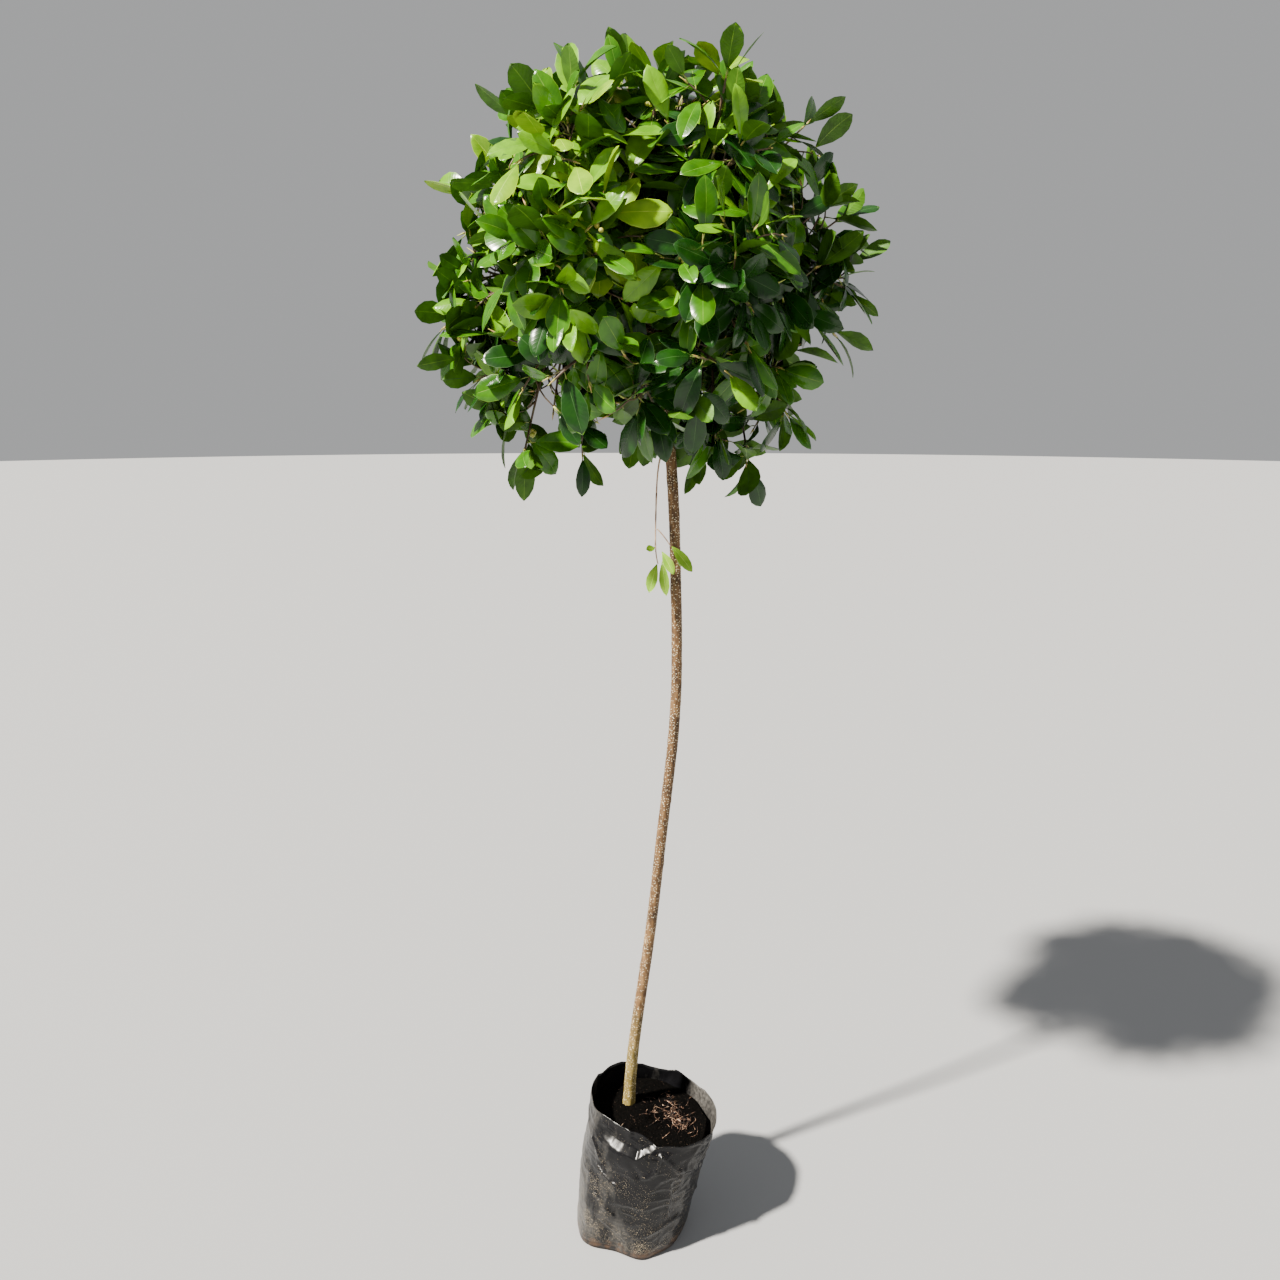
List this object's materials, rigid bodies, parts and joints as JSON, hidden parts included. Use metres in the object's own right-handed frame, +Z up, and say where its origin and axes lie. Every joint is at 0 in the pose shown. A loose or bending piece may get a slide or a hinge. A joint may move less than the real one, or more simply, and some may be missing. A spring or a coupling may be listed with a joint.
{
  "type": "standard lollipop topiary tree in a nursery bag",
  "caption": "Fig tree trained as a standard: a ball of glossy leaves on a bowed clear stem, rooted in a soft black nursery bag of soil.",
  "frame": {"origin": "the middle of the flat underside of the bag, where the plant stands", "axes": "+Z up along the stem, the pictured front towards -Y, +X to the right in the picture"},
  "size_m": [0.6611, 0.5495, 1.8064],
  "materials": {
    "film": "gloss",
    "soil": "matte",
    "bark": "matte",
    "foliage": "gloss"
  },
  "bodies": {
    "root": {"bag": "film", "soil": "soil", "trunk": "bark", "bough_low_1": "bark", "bough_low_2": "bark", "bough_low_3": "bark", "bough_low_4": "bark", "bough_middle_1": "bark", "bough_middle_2": "bark", "bough_middle_3": "bark", "bough_middle_4": "bark", "bough_middle_5": "bark", "bough_middle_6": "bark", "bough_upper_1": "bark", "bough_upper_2": "bark", "bough_upper_3": "bark", "bough_upper_4": "bark", "foliage_low_1": "foliage", "foliage_low_2": "foliage", "foliage_low_3": "foliage", "foliage_low_4": "foliage", "foliage_middle_1": "foliage", "foliage_middle_2": "foliage", "foliage_middle_3": "foliage", "foliage_middle_4": "foliage", "foliage_middle_5": "foliage", "foliage_middle_6": "foliage", "foliage_upper_1": "foliage", "foliage_upper_2": "foliage", "foliage_upper_3": "foliage", "foliage_upper_4": "foliage", "foliage_top": "foliage", "foliage_hanging_shoot": "foliage"}
  },
  "joints": []
}
